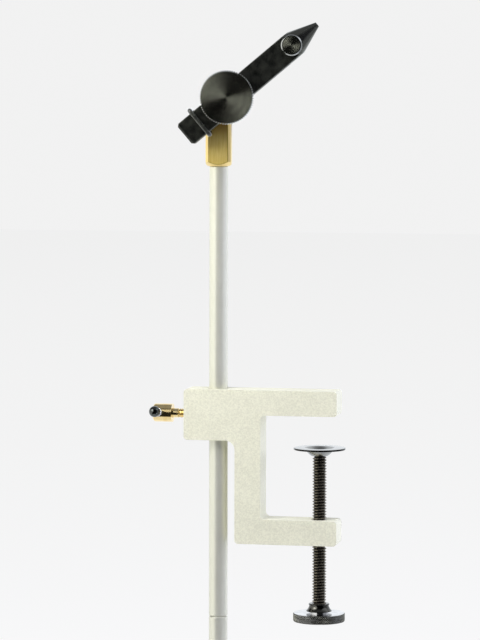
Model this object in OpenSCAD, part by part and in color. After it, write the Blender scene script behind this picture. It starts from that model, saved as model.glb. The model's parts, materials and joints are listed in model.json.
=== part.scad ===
// Fly tying vise on a table clamp, in millimetres.
// +X runs along the clamp's arms, -Y faces the tyer and +Z is up.
// The origin is where the clamp screw's axis meets the seat, the underside of the upper arm.

/* [Clamp frame] */
// Thickness of the plate that the frame is cut from
plate_t = 15.9; // [13:0.1:20]
// Height of the upper arm
upper_arm_h = 12.7; // [10:0.1:16]
// Height of the lower arm
lower_arm_h = 12.6; // [10:0.1:16]
// Opening between the two arms
mouth_h = 52.8; // [45:0.1:70]
// Width of the upright spine
spine_w = 13.3; // [10:0.1:16]
// From the stem's axis to the spine
spine_off = 9.9; // [8:0.1:14]
// From the stem's axis to the block's outer side
block_side = 16.4; // [13:0.1:22]
// Height of the block that holds the stem
block_h = 25.8; // [20:0.1:34]
// From the clamp screw's axis to the arms' free ends
arm_over = 10; // [8:0.1:16]
// Radius of the frame's outer corners
corner_r = 1.8; // [0.5:0.1:3]
// Radius of the corner under the upper arm
seat_corner_r = 1.8; // [0.5:0.1:4]
// Radius of the corner on the lower arm
floor_corner_r = 2.4; // [0.5:0.1:4]
// Radius of the hollow corner between block and spine
block_corner_r = 4.7; // [1:0.1:6]
// Bevel at the mouths of the drilled holes
mouth_bevel = 0.5; // [0.2:0.1:1]

/* [Stem] */
// Diameter of the stem
stem_d = 9.525; // [7:0.005:12]
// From the stem's axis to the clamp screw's axis
screw_off = 52.1; // [45:0.1:60]
// From the seat down to the joint between the two rods
joint_drop = 103.6; // [90:0.1:120]
// Length of the lower rod
lower_rod_h = 50; // [30:1:90]
// Bevel on the rods' ends
rod_bevel = 0.4; // [0.2:0.05:1]
// Diameter of the stud that joins the two rods
joint_stud_d = 6.35; // [4:0.05:6.4]
// Length of the stud that joins the two rods
joint_stud_h = 24; // [16:1:34]

/* [Head post] */
// From the seat up to the post's foot
post_foot_z = 125.3; // [100:0.1:150]
// Width of the square post
post_w = 12.7; // [12:0.1:16]
// Bevel along the post's upright edges
post_edge = 1.3; // [0.5:0.1:2]
// From the post's flats in to the edge of its turned foot
foot_inset = 0.7; // [0.3:0.1:1.2]
// Rise of the turned foot at the post's corners
foot_rise = 2.1; // [1:0.1:3]
// From the post's foot to the jaws' pivot
pivot_rise = 28.9; // [25:0.1:40]
// Turn of the head on the stem, as it was left
head_turn = 8; // [-30:1:30]
// Diameter of the stem's spigot in the post
spigot_d = 6.35; // [5:0.05:6.4]
// Length of the stem's spigot in the post
spigot_h = 12; // [8:0.5:16]
// Diameter of the grub screw that holds the spigot
grub_d = 3.5; // [2.5:0.1:4]
// Diameter of the pivot screw
pivot_d = 4.8; // [4:0.1:5]
// Diameter of the pivot screw's head
pivot_head_d = 7.9; // [7:0.1:9]
// Height of the pivot screw's head
pivot_head_h = 4.8; // [3:0.1:5]
// Width across the flats of the pivot screw's socket
pivot_socket_w = 4; // [3:0.1:4.5]
// Thickness of the washer between post and jaws
washer_t = 2.9; // [2.9:0.1:4]
// Diameter of that washer
washer_d = 11; // [10:0.1:12]

/* [Jaws] */
// Angle of the jaws above the level
jaw_angle = 40; // [0:1:80]
// From the pivot to the jaws' tip
jaw_front = 65.2; // [60:0.1:75]
// From the pivot to the jaws' tail end
jaw_tail = 20.7; // [18:0.1:25]
// Width of the jaws
jaw_w = 12.9; // [12:0.1:14]
// Thickness of each jaw
jaw_t = 5; // [4.5:0.1:6]
// Gap between the jaws at the nose, for a hook's wire
nose_gap = 0.3; // [0.2:0.05:0.6]
// Length of the turned taper on the nose
nose_h = 13.6; // [11:0.1:17]
// Diameter of the nose at its tip
tip_d = 2.6; // [1.6:0.1:3.6]
// Length of the nose that stands full thickness inside
land_h = 23; // [22:0.5:27]
// Depth that each jaw is relieved behind the nose
relief = 1.0; // [0.9:0.05:1.2]
// Bevel along the jaws' outer edges
jaw_edge = 0.5; // [0.2:0.05:1]
// Bevel on the tail's corners
tail_bevel = 1.2; // [0.5:0.1:2]

/* [Jaw screws] */
// From the tip to the adjusting screw
adjust_off = 16.3; // [16:0.1:18]
// Diameter of the adjusting screw
adjust_d = 4.8; // [4:0.05:5]
// Diameter of the adjusting screw's knob
adjust_knob_d = 10.6; // [9:0.1:11]
// Height of the adjusting screw's knob
adjust_knob_h = 4.2; // [3:0.1:6]
// From the pivot forward to the thumb screw
thumb_off = 7.7; // [7:0.1:12]
// From the jaws' middle line up to the thumb screw
thumb_side = 0.8; // [0:0.1:1]
// Diameter of the thumb screw
thumb_d = 6.35; // [5.8:0.05:6.4]
// Diameter of the thumb screw's nose in the rear jaw
thumb_nose_d = 4.2; // [3:0.1:4.4]
// Diameter of the knurled thumb knob
thumb_knob_d = 26.9; // [24:0.1:30]
// Thickness of the thumb knob
thumb_knob_h = 6.4; // [5:0.1:9]
// Diameter of the hub behind the thumb knob
thumb_hub_d = 12.4; // [10:0.1:14]
// Height of the hub behind the thumb knob
thumb_hub_h = 1.6; // [1:0.1:3]
// Spacing of the straight knurl on the thumb knob
knurl_pitch = 1.17; // [0.9:0.01:1.4]
// Depth of the straight knurl
knurl_depth = 0.5; // [0.3:0.05:0.6]
// Bevel on the knobs' rims
knob_bevel = 0.6; // [0.3:0.05:1]
// Thickness of the rubber ring's cord
ring_cord_d = 2.4; // [1.8:0.05:2.4]
// From the jaws' tail end to the rubber ring
ring_off = 9.8; // [6:0.1:10.5]

/* [Clamp screw] */
// Diameter of the clamp screw
screw_d = 7.2; // [6:0.1:8]
// From the seat down to the pad's rim
pad_drop = 16.4; // [14:0.1:22]
// Diameter of the swivel pad
pad_d = 26.2; // [24:0.1:28]
// Height of the pad from its boss to its rim
pad_h = 4; // [3.2:0.1:5]
// Thickness of the pad's rim
pad_rim_t = 0.9; // [0.6:0.05:1.2]
// Thickness of the pad's plate where it meets the boss
pad_plate_t = 1.2; // [1:0.05:1.3]
// Width of the flat land round the pad's rim
pad_land_w = 5.4; // [4.5:0.1:5.6]
// Depth of the pad's dish
pad_dish = 1.3; // [1:0.05:1.4]
// Diameter of the recess for the rivet head
pad_recess_d = 9.6; // [8.4:0.1:10]
// Diameter of the pad's boss under the rim
pad_boss_d = 14; // [12:0.1:15]
// Diameter of the pad's boss where it meets the screw
pad_neck_d = 8.8; // [8:0.1:9]
// Diameter of the screw's journal in the pad
journal_d = 4.2; // [3.4:0.1:4.6]
// Diameter of the head riveted over in the pad
rivet_d = 6.4; // [5.8:0.1:7]
// Height of that riveted head
rivet_h = 0.9; // [0.6:0.05:0.9]
// From the seat down to the top of the knurled knob
knob_drop = 100.4; // [95:0.1:115]
// Diameter of the knurled knob
knob_d = 26.2; // [22:0.1:30]
// Thickness of the knurled knob
knob_h = 4.1; // [3.8:0.1:8]
// Height of the waisted collar on the knob
collar_h = 4; // [3:0.1:6]
// Diameter of the collar's top
collar_top_d = 10.6; // [10:0.1:12]
// Diameter of the collar's waist
collar_waist_d = 9.9; // [9:0.1:9.9]
// Diameter of the collar's flared foot
collar_foot_d = 13; // [12:0.1:15]
// Diameter of the neck between collar and knob
collar_neck_d = 9.6; // [9:0.1:11]
// Height of the neck between collar and knob
collar_neck_h = 0.9; // [0.5:0.1:2]
// Bevel on the collar's lip and foot
collar_lip = 0.5; // [0.3:0.05:0.5]

/* [Lock screw] */
// Diameter of the lock screw
lock_d = 4.8; // [4:0.1:5.4]
// Height of the lock screw above the seat
lock_z = -0.3; // [-2:0.1:2]
// From the frame's side to the lock screw's head
lock_neck = 7.3; // [5:0.1:10]
// Diameter of the lock screw's head
lock_head_d = 9.3; // [8.5:0.1:11]
// Length of the lock screw's head
lock_head_h = 9.8; // [9:0.1:13]
// Rounding of the head's outer edge
lock_round_r = 1.1; // [0.5:0.1:1.2]
// From the head's outer end to the cross bar
bar_off = 2.5; // [2.5:0.1:4]
// Diameter of the cross bar
bar_d = 3; // [2.2:0.1:3.2]
// Diameter of the balls on the cross bar
ball_d = 5.7; // [5:0.1:7]
// From the lock screw's axis to the front ball, as it was left
ball_front = 10; // [9.5:0.1:14]
// Distance between the two balls
ball_span = 28; // [26:0.1:34]
// Tilt of the cross bar, front end up, as it was left
bar_tilt = 8; // [-45:1:45]

/* [Hidden] */
$fn = 96;
eps = 0.5;          // overrun of every cut
run = 0.05;         // radial clearance of a part that turns or slides in its hole
seat = 0.1;         // gap between faces that turn on each other
rock_run = 0.45;    // radial room for the rocking front jaw round its screws
stem_x = -screw_off;
stem_r = stem_d / 2;
frame_left = stem_x - block_side;
spine_left = stem_x + spine_off;
spine_right = spine_left + spine_w;
frame_top = upper_arm_h;
frame_foot = -mouth_h - lower_arm_h;
block_foot = upper_arm_h - block_h;
pivot_z = post_foot_z + pivot_rise;
jaw_back = post_w / 2 + washer_t;            // stem's axis to the rear jaw's back
jaw_split = jaw_back + jaw_t;                // to the rear jaw's inner face at the nose
nose_axis = jaw_split + nose_gap / 2;
jaw_face = jaw_split + nose_gap + jaw_t;     // to the front jaw's outer face
adjust_u = jaw_front - adjust_off;
ring_u = ring_off - jaw_tail;
socket_share = 0.55;                         // share of a screw's head that its socket is deep
hold_share = 0.7;                            // share of a knob that its stud reaches into
adjust_gap = 0.12;                           // under the adjusting knob's raised middle
adjust_cone = 0.3;                           // relief of the adjusting knob's underside
thumb_gap = 0.4;                             // between the front jaw and the thumb knob's hub
thumb_seat_h = 1.4;                          // depth of the thumb screw's seat
thumb_shoulder = 0.2;                        // between the thumb screw's shoulder and the rear jaw
pad_play = 0.2;                              // slack of the pad along the screw
pad_bore_run = 0.2;                          // slack of the pad round the journal
countersink = 0.8;                           // depth and spread of the cross bar's countersinks
grub_share = 0.45;                           // height of the grub screw on the spigot
waist_share = 0.65;                          // share of the collar's height where its waist begins

// A flat outline with four round corners, from its low corner to its high one
module rounded(low, high, r) {
    translate([low[0] + r, low[1]]) square([high[0] - low[0] - 2 * r, high[1] - low[1]]);
    translate([low[0], low[1] + r]) square([high[0] - low[0], high[1] - low[1] - 2 * r]);
    for (x = [low[0] + r, high[0] - r], z = [low[1] + r, high[1] - r])
        translate([x, z]) circle(r);
}

// The stock left in a hollow corner, grown from the corner towards the signs of way
module hollow_corner(at, way, r) {
    translate(at) mirror([way[0] < 0 ? 1 : 0, 0]) mirror([0, way[1] < 0 ? 1 : 0])
        difference() {
            translate([-eps, -eps]) square(r + eps);
            translate([r, r]) circle(r);
        }
}

// A rod along +Z with a bevel at each end
module bevelled_rod(d, h, bevel) {
    rotate_extrude() polygon([[0, 0], [d / 2 - bevel, 0], [d / 2, bevel],
        [d / 2, h - bevel], [d / 2 - bevel, h], [0, h]]);
}

// A drilled hole along +Z with a bevel at both mouths
module drilled(r, h) {
    translate([0, 0, -eps]) cylinder(r = r, h = h + 2 * eps);
    for (end = [0, 1]) translate([0, 0, end * h]) mirror([0, 0, end])
        translate([0, 0, -eps]) cylinder(r1 = r + mouth_bevel + eps, r2 = r, h = mouth_bevel + eps);
}

// The head's frame: origin at the pivot on the stem's axis, turned with the head
module on_head() {
    translate([stem_x, 0, pivot_z]) rotate([0, 0, head_turn]) children();
}

// The jaws' frame: +X along the jaws to the tip, -Y out to the tyer
module on_jaws() {
    on_head() rotate([0, -jaw_angle, 0]) children();
}

// Along the jaws and out from the stem's axis, with +Z pointing out to the tyer
module out_from(along, out) {
    translate([along, -out, 0]) rotate([90, 0, 0]) children();
}

// Out from the stem's axis along the thumb screw
module on_thumb(out) {
    translate([0, 0, thumb_side]) out_from(thumb_off, out) children();
}

// The lock screw's frame: +Z points out of the frame's side along the screw
module on_lock(out) {
    translate([stem_x - out, 0, lock_z]) rotate([0, -90, 0]) children();
}

// The cross bar's frame: +Z points to the tyer along the bar
module on_bar(along) {
    translate([frame_left - lock_neck - lock_head_h + bar_off, 0, lock_z])
        rotate([90 - bar_tilt, 0, 0]) translate([0, 0, along]) children();
}

module clamp_outline() {
    rounded([frame_left, block_foot], [spine_right, frame_top], corner_r);
    rounded([frame_left, 0], [arm_over, frame_top], corner_r);
    rounded([spine_left, frame_foot], [spine_right, frame_top], corner_r);
    rounded([spine_left, frame_foot], [arm_over, -mouth_h], corner_r);
    hollow_corner([spine_right, 0], [1, -1], seat_corner_r);
    hollow_corner([spine_right, -mouth_h], [1, 1], floor_corner_r);
    hollow_corner([spine_left, block_foot], [-1, -1], block_corner_r);
}

module clamp_frame() {
    color("gainsboro") difference() {
        translate([0, plate_t / 2, 0]) rotate([90, 0, 0]) linear_extrude(plate_t) clamp_outline();
        translate([stem_x, 0, block_foot]) drilled(stem_r + run, block_h);
        translate([0, 0, frame_foot]) drilled(screw_d / 2 + run, lower_arm_h);
        on_lock(0) cylinder(r = lock_d / 2 + run, h = block_side + eps);
    }
}

module stem_upper() {
    color("silver") difference() {
        union() {
            translate([stem_x, 0, -joint_drop + seat])
                bevelled_rod(stem_d, joint_drop - seat + post_foot_z, rod_bevel);
            translate([stem_x, 0, post_foot_z - rod_bevel]) cylinder(d = spigot_d, h = spigot_h + rod_bevel);
        }
        translate([stem_x, 0, -joint_drop - eps])
            cylinder(r = joint_stud_d / 2 + run, h = joint_stud_h / 2 + seat + eps);
    }
}

module stem_lower() {
    color("silver") difference() {
        translate([stem_x, 0, -joint_drop - lower_rod_h]) bevelled_rod(stem_d, lower_rod_h, rod_bevel);
        translate([stem_x, 0, -joint_drop - joint_stud_h / 2])
            cylinder(d = joint_stud_d, h = joint_stud_h / 2 + eps);
    }
}

module stem_joint_stud() {
    color("dimgray") translate([stem_x, 0, -joint_drop - joint_stud_h / 2])
        bevelled_rod(joint_stud_d, joint_stud_h, rod_bevel);
}

// The square post, its edges bevelled, its top rounded about the pivot and its foot turned
module post_blank() {
    flat = post_w / 2 - post_edge;
    foot_r = post_w / 2 - foot_inset;
    reach = norm([flat, post_w / 2]) - foot_r;
    top = pivot_rise + post_w;
    intersection() {
        translate([0, 0, -pivot_rise]) linear_extrude(top) polygon([
            [flat, -post_w / 2], [post_w / 2, -flat], [post_w / 2, flat], [flat, post_w / 2],
            [-flat, post_w / 2], [-post_w / 2, flat], [-post_w / 2, -flat], [-flat, -post_w / 2]]);
        translate([0, post_w / 2, 0]) rotate([90, 0, 0]) linear_extrude(post_w) {
            translate([-post_w / 2, -pivot_rise]) square([post_w, pivot_rise]);
            circle(d = post_w);
        }
        translate([0, 0, -pivot_rise]) rotate_extrude() polygon([
            [0, 0], [foot_r, 0], [foot_r + 2 * reach, 2 * foot_rise], [foot_r + 2 * reach, top], [0, top]]);
    }
}

module head_post() {
    color("goldenrod") on_head() difference() {
        post_blank();
        translate([0, 0, -pivot_rise - eps]) cylinder(d = spigot_d, h = spigot_h + eps);
        out_from(0, -post_w / 2 - eps) cylinder(r = pivot_d / 2 + run, h = post_w + 2 * eps);
        out_from(0, -post_w / 2 - eps) cylinder(r = pivot_head_d / 2 + run, h = pivot_head_h + seat + eps);
        translate([0, 0, -pivot_rise + spigot_h * grub_share]) out_from(0, -post_w / 2 - eps)
            cylinder(d = grub_d, h = post_w / 2 + eps);
    }
}

module stem_grub_screw() {
    h = post_w / 2 - spigot_d / 2 - seat;
    color("dimgray") on_head() translate([0, 0, -pivot_rise + spigot_h * grub_share])
        out_from(0, -spigot_d / 2 - h) difference() {
            cylinder(d = grub_d, h = h);
            translate([0, 0, -eps]) cylinder(d = grub_d * socket_share, h = h * socket_share + eps, $fn = 6);
        }
}

module jaw_pivot_screw() {
    shank = post_w - pivot_head_h + washer_t + jaw_t - relief - seat;
    color("dimgray") on_jaws() out_from(0, -post_w / 2) difference() {
        union() {
            cylinder(d = pivot_head_d, h = pivot_head_h);
            cylinder(d = pivot_d, h = pivot_head_h + shank);
        }
        translate([0, 0, -eps])
            cylinder(d = pivot_socket_w / cos(30), h = pivot_head_h * socket_share + eps, $fn = 6);
    }
}

module jaw_pivot_washer() {
    color("silver") on_jaws() out_from(0, post_w / 2 + seat) difference() {
        cylinder(d = washer_d, h = washer_t - seat);
        translate([0, 0, -eps]) cylinder(d = pivot_d, h = washer_t + 2 * eps);
    }
}

// The turned form that both jaws are cut from: a cone on the nose, plain behind
module nose_form() {
    slope = (jaw_w - tip_d) / 2 / nose_h;
    wide_r = norm([jaw_w, 2 * jaw_t + nose_gap]) / 2 + eps;
    cone_h = (wide_r - tip_d / 2) / slope;
    translate([jaw_front, -nose_axis, 0]) rotate([0, -90, 0]) rotate_extrude() polygon([
        [0, 0], [tip_d / 2, 0], [wide_r, cone_h], [wide_r, jaw_front + jaw_tail + eps],
        [0, jaw_front + jaw_tail + eps]]);
}

// A jaw's bar, with its back at out and its bevelled face on the side that face gives
module jaw_bar(out, face) {
    side = jaw_w / 2;
    intersection() {
        out_from(0, out) linear_extrude(jaw_t) polygon([
            [-jaw_tail, tail_bevel - side], [tail_bevel - jaw_tail, -side], [jaw_front, -side],
            [jaw_front, side], [tail_bevel - jaw_tail, side], [-jaw_tail, side - tail_bevel]]);
        translate([-jaw_tail - eps, -out - jaw_t / 2, 0]) rotate([90, 0, 90])
            linear_extrude(jaw_front + jaw_tail + 2 * eps) scale([face, 1]) polygon([
                [-jaw_t / 2, -side], [jaw_t / 2 - jaw_edge, -side], [jaw_t / 2, jaw_edge - side],
                [jaw_t / 2, side - jaw_edge], [jaw_t / 2 - jaw_edge, side], [-jaw_t / 2, side]]);
        nose_form();
    }
}

// The stock milled away between the jaws, behind the nose
module relief_cut(out) {
    out_from(-jaw_tail - eps, out) translate([0, -jaw_w / 2 - eps, 0])
        cube([jaw_front + jaw_tail - land_h + eps, jaw_w + 2 * eps, relief + eps]);
}

module rear_jaw() {
    color("#222222") on_jaws() difference() {
        jaw_bar(jaw_back, 1);
        relief_cut(jaw_split - relief);
        out_from(0, jaw_back - eps) cylinder(d = pivot_d, h = jaw_t + 2 * eps);
        out_from(adjust_u, jaw_back - eps) cylinder(r = adjust_d / 2 + run, h = jaw_t + 2 * eps);
        on_thumb(jaw_split - relief - thumb_seat_h)
            cylinder(r = thumb_nose_d / 2 + rock_run, h = thumb_seat_h + relief + eps);
    }
}

module front_jaw() {
    color("#222222") on_jaws() difference() {
        jaw_bar(jaw_split + nose_gap, -1);
        relief_cut(jaw_split + nose_gap - eps);
        out_from(adjust_u, jaw_split - eps)
            cylinder(r = adjust_d / 2 + rock_run, h = jaw_t + nose_gap + 2 * eps);
        on_thumb(jaw_split - eps)
            cylinder(r = thumb_d / 2 + run, h = jaw_t + nose_gap + 2 * eps);
    }
}

// A rubber ring stretched round both jaws: four straight runs and four round corners
module jaw_rubber_ring() {
    r = ring_cord_d / 2;
    bend = r + seat;
    wide = jaw_w / 2 + seat + r;
    near = jaw_back - seat - r;
    far = jaw_face + seat + r;
    color("#1a1a1a") on_jaws() translate([ring_u, 0, 0]) rotate([90, 0, 90]) {
        for (side = [-1, 1]) {
            translate([-far + bend, side * wide, 0]) rotate([0, 90, 0])
                cylinder(r = r, h = far - near - 2 * bend);
            for (end = [0, 1]) translate([end == 0 ? -far : -near, -wide + bend, 0])
                rotate([-90, 0, 0]) cylinder(r = r, h = 2 * (wide - bend));
            for (end = [0, 1]) translate([end == 0 ? -far + bend : -near - bend, side * (wide - bend), 0])
                mirror([end == 0 ? 1 : 0, 0, 0]) mirror([0, side < 0 ? 1 : 0, 0])
                    rotate_extrude(angle = 90) translate([bend, 0]) circle(r);
        }
    }
}

module adjust_stud() {
    color("#333333") on_jaws() out_from(adjust_u, jaw_back + seat)
        cylinder(d = adjust_d, h = jaw_face - jaw_back - seat + adjust_gap + adjust_knob_h * hold_share);
}

module adjust_knob() {
    r = adjust_knob_d / 2;
    color("#333333") on_jaws() out_from(adjust_u, jaw_face + adjust_gap) difference() {
        rotate_extrude() polygon([
            [0, 0], [adjust_d / 2 + seat, 0], [r - knob_bevel, adjust_cone],
            [r, adjust_cone + knob_bevel], [r, adjust_knob_h - knob_bevel],
            [r - knob_bevel, adjust_knob_h], [0, adjust_knob_h]]);
        translate([0, 0, -eps])
            cylinder(r = adjust_d / 2 + run, h = adjust_knob_h * hold_share + seat + eps);
    }
}

module thumb_stud() {
    nose_out = jaw_split - relief - thumb_seat_h + seat;
    shoulder_out = jaw_split - relief + thumb_shoulder;
    end_out = jaw_face + thumb_gap + thumb_hub_h + thumb_knob_h * hold_share;
    color("#333333") on_jaws() {
        on_thumb(nose_out) cylinder(d = thumb_nose_d, h = shoulder_out - nose_out + eps);
        on_thumb(shoulder_out) cylinder(d = thumb_d, h = end_out - shoulder_out);
    }
}

// The toothed outline of a straight knurl
module knurl_outline(d) {
    teeth = round(PI * d / knurl_pitch);
    polygon([for (i = [0 : 2 * teeth - 1])
        (d / 2 - (i % 2) * knurl_depth) * [cos(180 * i / teeth), sin(180 * i / teeth)]]);
}

module thumb_knob() {
    r = thumb_knob_d / 2;
    color("#333333") on_jaws() on_thumb(jaw_face + thumb_gap) difference() {
        union() {
            cylinder(d = thumb_hub_d, h = thumb_hub_h + eps);
            translate([0, 0, thumb_hub_h]) intersection() {
                linear_extrude(thumb_knob_h) knurl_outline(thumb_knob_d);
                rotate_extrude() polygon([
                    [0, 0], [r - knob_bevel, 0], [r + eps, knob_bevel + eps],
                    [r + eps, thumb_knob_h - knob_bevel - eps], [r - knob_bevel, thumb_knob_h],
                    [0, thumb_knob_h]]);
            }
        }
        translate([0, 0, -eps])
            cylinder(r = thumb_d / 2 + run, h = thumb_hub_h + thumb_knob_h * hold_share + seat + eps);
    }
}

module clamp_screw() {
    shoulder = -pad_drop - pad_h - pad_play;
    rivet_foot = -pad_drop - pad_dish - rivet_h;
    foot = -knob_drop - knob_h * hold_share;
    color("#333333") {
        translate([0, 0, foot]) cylinder(d = screw_d, h = shoulder - foot);
        translate([0, 0, shoulder - eps]) cylinder(d = journal_d, h = rivet_foot - shoulder + 2 * eps);
        translate([0, 0, rivet_foot]) cylinder(d = rivet_d, h = rivet_h);
    }
}

// A dished pad with a round-bottomed boss, that swivels on the screw's journal
module swivel_pad() {
    rim = pad_d / 2;
    boss = pad_boss_d / 2;
    neck = pad_neck_d / 2;
    recess = pad_recess_d / 2;
    floor_z = -pad_dish - rivet_h - pad_play;
    spread = (boss * boss - neck * neck) / (pad_h - pad_plate_t);
    ball_z = (spread - pad_plate_t - pad_h) / 2;
    ball_r = norm([neck, ball_z + pad_h]);
    color("#333333") translate([0, 0, -pad_drop]) rotate_extrude() difference() {
        union() {
            polygon([[0, -pad_plate_t], [boss, -pad_plate_t], [rim, -pad_rim_t], [rim, 0], [0, 0]]);
            intersection() {
                translate([0, ball_z]) circle(ball_r);
                translate([0, -pad_h]) square([boss, pad_h - pad_plate_t / 2]);
            }
        }
        polygon([[0, -pad_dish], [recess, -pad_dish], [rim - pad_land_w, 0],
            [rim - pad_land_w, eps], [0, eps]]);
        translate([0, floor_z]) square([recess, eps - floor_z]);
        translate([0, -pad_h - eps]) square([journal_d / 2 + pad_bore_run, pad_h + 2 * eps]);
    }
}

module clamp_knob() {
    r = knob_d / 2;
    color("#333333") translate([0, 0, -knob_drop - knob_h]) difference() {
        union() {
            rotate_extrude() polygon([
                [0, 0], [r - knob_bevel, 0], [r, knob_bevel], [r, knob_h - knob_bevel],
                [r - knob_bevel, knob_h], [0, knob_h]]);
            cylinder(d = collar_neck_d, h = knob_h + collar_neck_h);
        }
        translate([0, 0, knob_h * (1 - hold_share) - seat])
            cylinder(r = screw_d / 2 + run, h = knob_h + collar_neck_h);
    }
}

// The collar that jams the knob on the screw: a waist between a flared foot and a lip
module clamp_knob_collar() {
    top = collar_top_d / 2;
    waist = collar_waist_d / 2;
    foot = collar_foot_d / 2;
    color("#333333") translate([0, 0, -knob_drop + collar_neck_h]) difference() {
        rotate_extrude() polygon([
            [0, 0], [foot - collar_lip, 0], [foot, collar_lip], [foot - collar_lip, 2 * collar_lip],
            [waist, collar_h * waist_share], [waist, collar_h - 2 * collar_lip],
            [top, collar_h - collar_lip], [top - collar_lip, collar_h], [0, collar_h]]);
        translate([0, 0, -eps]) cylinder(r = screw_d / 2 + run, h = collar_h + 2 * eps);
    }
}

module lock_screw_stud() {
    start = stem_r + seat;
    color("goldenrod") on_lock(start)
        cylinder(d = lock_d, h = block_side - start + lock_neck + (lock_head_h - bar_off) * socket_share);
}

module lock_screw_head() {
    r = lock_head_d / 2;
    edge = lock_round_r;
    color("goldenrod") difference() {
        on_lock(block_side + lock_neck) rotate_extrude() {
            square([r - edge, lock_head_h]);
            square([r, lock_head_h - edge]);
            translate([r - edge, lock_head_h - edge]) circle(edge);
        }
        on_lock(block_side + lock_neck) translate([0, 0, -eps])
            cylinder(r = lock_d / 2 + run, h = (lock_head_h - bar_off) * socket_share + seat + eps);
        on_bar(-lock_head_d) cylinder(r = bar_d / 2 + run, h = 2 * lock_head_d);
        for (way = [0, 180]) on_bar(0) rotate([way, 0, 0]) translate([0, 0, r - countersink])
            cylinder(r1 = bar_d / 2, r2 = bar_d / 2 + countersink + eps, h = countersink + eps);
    }
}

module lock_bar() {
    color("silver") on_bar(ball_front - ball_span) cylinder(d = bar_d, h = ball_span);
}

// A ball with a socket that takes the bar's end, opening along -Z
module bar_ball() {
    difference() {
        sphere(d = ball_d);
        translate([0, 0, -ball_d]) cylinder(d = bar_d, h = ball_d);
    }
}

module lock_bar_ball_front() {
    color("#111111") on_bar(ball_front) bar_ball();
}

module lock_bar_ball_rear() {
    color("#111111") on_bar(ball_front - ball_span) rotate([180, 0, 0]) bar_ball();
}

clamp_frame();
stem_upper();
stem_lower();
stem_joint_stud();
head_post();
stem_grub_screw();
jaw_pivot_screw();
jaw_pivot_washer();
rear_jaw();
front_jaw();
jaw_rubber_ring();
adjust_stud();
adjust_knob();
thumb_stud();
thumb_knob();
clamp_screw();
swivel_pad();
clamp_knob();
clamp_knob_collar();
lock_screw_stud();
lock_screw_head();
lock_bar();
lock_bar_ball_front();
lock_bar_ball_rear();
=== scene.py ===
import json
import math

import bmesh
import bpy
import numpy as np
from mathutils import Matrix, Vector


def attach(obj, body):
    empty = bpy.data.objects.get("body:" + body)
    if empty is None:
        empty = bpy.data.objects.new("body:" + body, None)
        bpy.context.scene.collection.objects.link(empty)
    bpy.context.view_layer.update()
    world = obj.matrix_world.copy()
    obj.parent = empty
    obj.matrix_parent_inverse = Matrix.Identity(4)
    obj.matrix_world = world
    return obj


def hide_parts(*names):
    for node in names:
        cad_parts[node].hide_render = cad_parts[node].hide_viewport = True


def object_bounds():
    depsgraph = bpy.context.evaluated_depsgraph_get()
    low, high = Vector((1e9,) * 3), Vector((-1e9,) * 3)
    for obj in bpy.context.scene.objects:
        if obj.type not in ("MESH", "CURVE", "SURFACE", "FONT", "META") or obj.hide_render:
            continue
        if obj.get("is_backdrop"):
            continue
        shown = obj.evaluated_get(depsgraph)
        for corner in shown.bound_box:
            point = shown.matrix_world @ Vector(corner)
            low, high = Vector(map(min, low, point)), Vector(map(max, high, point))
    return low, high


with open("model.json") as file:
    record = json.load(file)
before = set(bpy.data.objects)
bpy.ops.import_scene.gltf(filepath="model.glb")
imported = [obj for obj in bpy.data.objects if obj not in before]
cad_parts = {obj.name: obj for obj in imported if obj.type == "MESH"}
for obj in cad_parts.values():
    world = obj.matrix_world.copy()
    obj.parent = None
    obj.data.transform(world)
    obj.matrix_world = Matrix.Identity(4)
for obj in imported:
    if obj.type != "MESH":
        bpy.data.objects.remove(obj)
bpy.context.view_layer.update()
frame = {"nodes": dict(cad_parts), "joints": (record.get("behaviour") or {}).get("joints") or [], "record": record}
print("frame loaded with", len(frame["nodes"]), "pieces")

mm = 0.001
scene = bpy.context.scene
record = frame["record"]
joints = {joint["name"]: joint for joint in frame["joints"]}
mounts = {mount["name"]: mount for mount in record["mounts"]}
slotOf = {part["node"]: part["material_slot"] for part in record["subparts"]}
bodyOf = {node: body for body, members in record["behaviour"]["bodies"].items() for node in members}


def unit(vector):
    vector = np.asarray(vector, float)
    return vector / np.linalg.norm(vector)


class Place:  # a local frame: z runs along a piece's axis, x is its side
    def __init__(self, origin, axis, side):
        self.origin = np.asarray(origin, float)
        z = unit(axis)
        x = unit(np.asarray(side, float) - z * np.dot(side, z))
        self.turn = np.column_stack([x, np.cross(z, x), z])

    def toWorld(self, points):  # origin plus each local coordinate times its axis
        return np.asarray(points) @ self.turn.T + self.origin

    def toLocal(self, points):
        return (np.asarray(points) - self.origin) @ self.turn


def cadPoints(node):  # the corners of a CAD node as one array
    mesh = frame["nodes"][node].data
    points = np.empty(len(mesh.vertices) * 3)
    mesh.vertices.foreach_get("co", points)
    return points.reshape(-1, 3)


def measured(node, place):  # lowest and highest height along the axis, and the greatest radius
    points = place.toLocal(cadPoints(node))
    return points[:, 2].min(), points[:, 2].max(), np.hypot(points[:, 0], points[:, 1]).max()


stemAxis = Place(joints["stem_turn"]["pos_m"], (0, 0, 1), (1, 0, 0))
screwAxis = Place((0, 0, 0), (0, 0, 1), (1, 0, 0))
alongJaws = mounts["hook_jaws"]["axis"]
headAxis = Place(joints["jaw_tilt"]["pos_m"], joints["jaw_tilt"]["axis"], alongJaws)
thumbAxis = Place(joints["thumb_turn"]["pos_m"], joints["thumb_turn"]["axis"], alongJaws)
adjustAxis = Place(joints["adjust_turn"]["pos_m"], joints["adjust_turn"]["axis"], alongJaws)
lockAxis = Place(joints["lock_turn"]["pos_m"], joints["lock_turn"]["axis"], (0, 0, 1))
postAxis = Place(joints["jaw_tilt"]["pos_m"], (0, 0, 1), joints["jaw_tilt"]["axis"])  # x points to the front
barAxis = Place(cadPoints("lock_bar").mean(0), joints["cross_bar_slide"]["axis"], (1, 0, 0))

# Camera

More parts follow.
